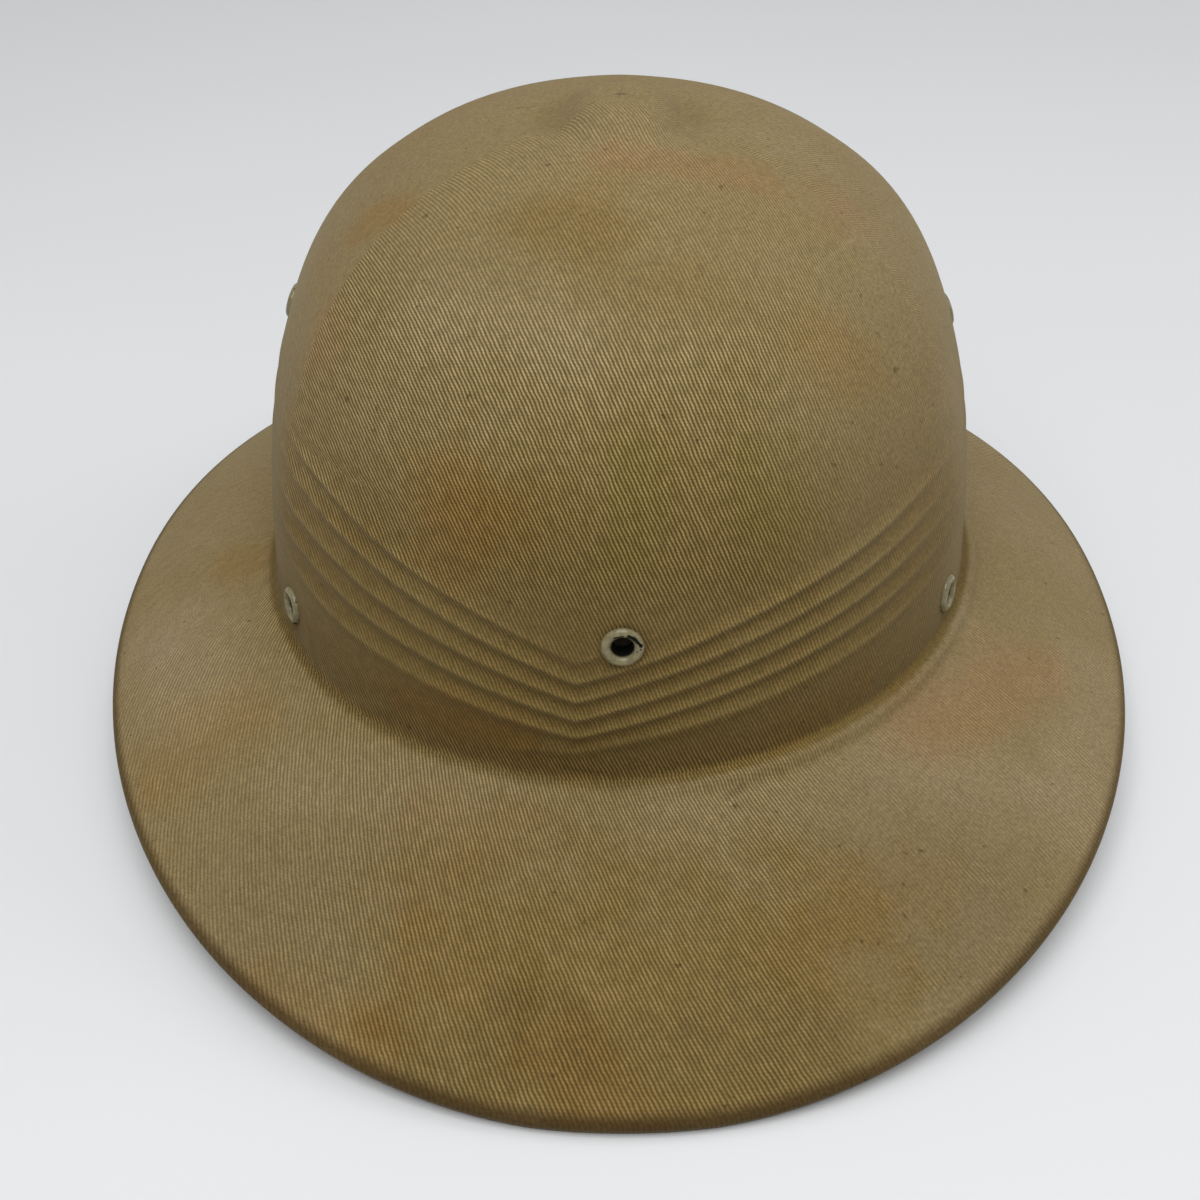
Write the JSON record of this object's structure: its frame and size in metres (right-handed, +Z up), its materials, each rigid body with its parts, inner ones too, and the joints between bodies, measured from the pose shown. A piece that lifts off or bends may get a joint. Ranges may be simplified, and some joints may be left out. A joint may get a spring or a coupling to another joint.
{
  "type": "pith helmet",
  "caption": "Sun helmet: rounded fibre crown with a sloping oval brim, covered in twill pleated round the crown's foot, with painted vent eyelets and a covered top button.",
  "frame": {"origin": "on the ground, under the middle of the rim's box", "axes": "+Z up, the front of the helmet towards -Y, the helmet's left as seen from the front towards -X"},
  "size_m": [0.2851, 0.344, 0.1675],
  "materials": {
    "pressed_fibre": "matt pressed fibre",
    "cotton_twill": "worn khaki cotton twill",
    "eyelet_paint": "satin khaki paint, chipped"
  },
  "bodies": {
    "root": {"fibre_shell": "pressed_fibre", "twill_cover": "cotton_twill", "eyelet_front": "eyelet_paint", "eyelet_left_front": "eyelet_paint", "eyelet_right_front": "eyelet_paint", "eyelet_left_rear": "eyelet_paint", "eyelet_right_rear": "eyelet_paint", "eyelet_rear": "eyelet_paint"}
  },
  "joints": []
}
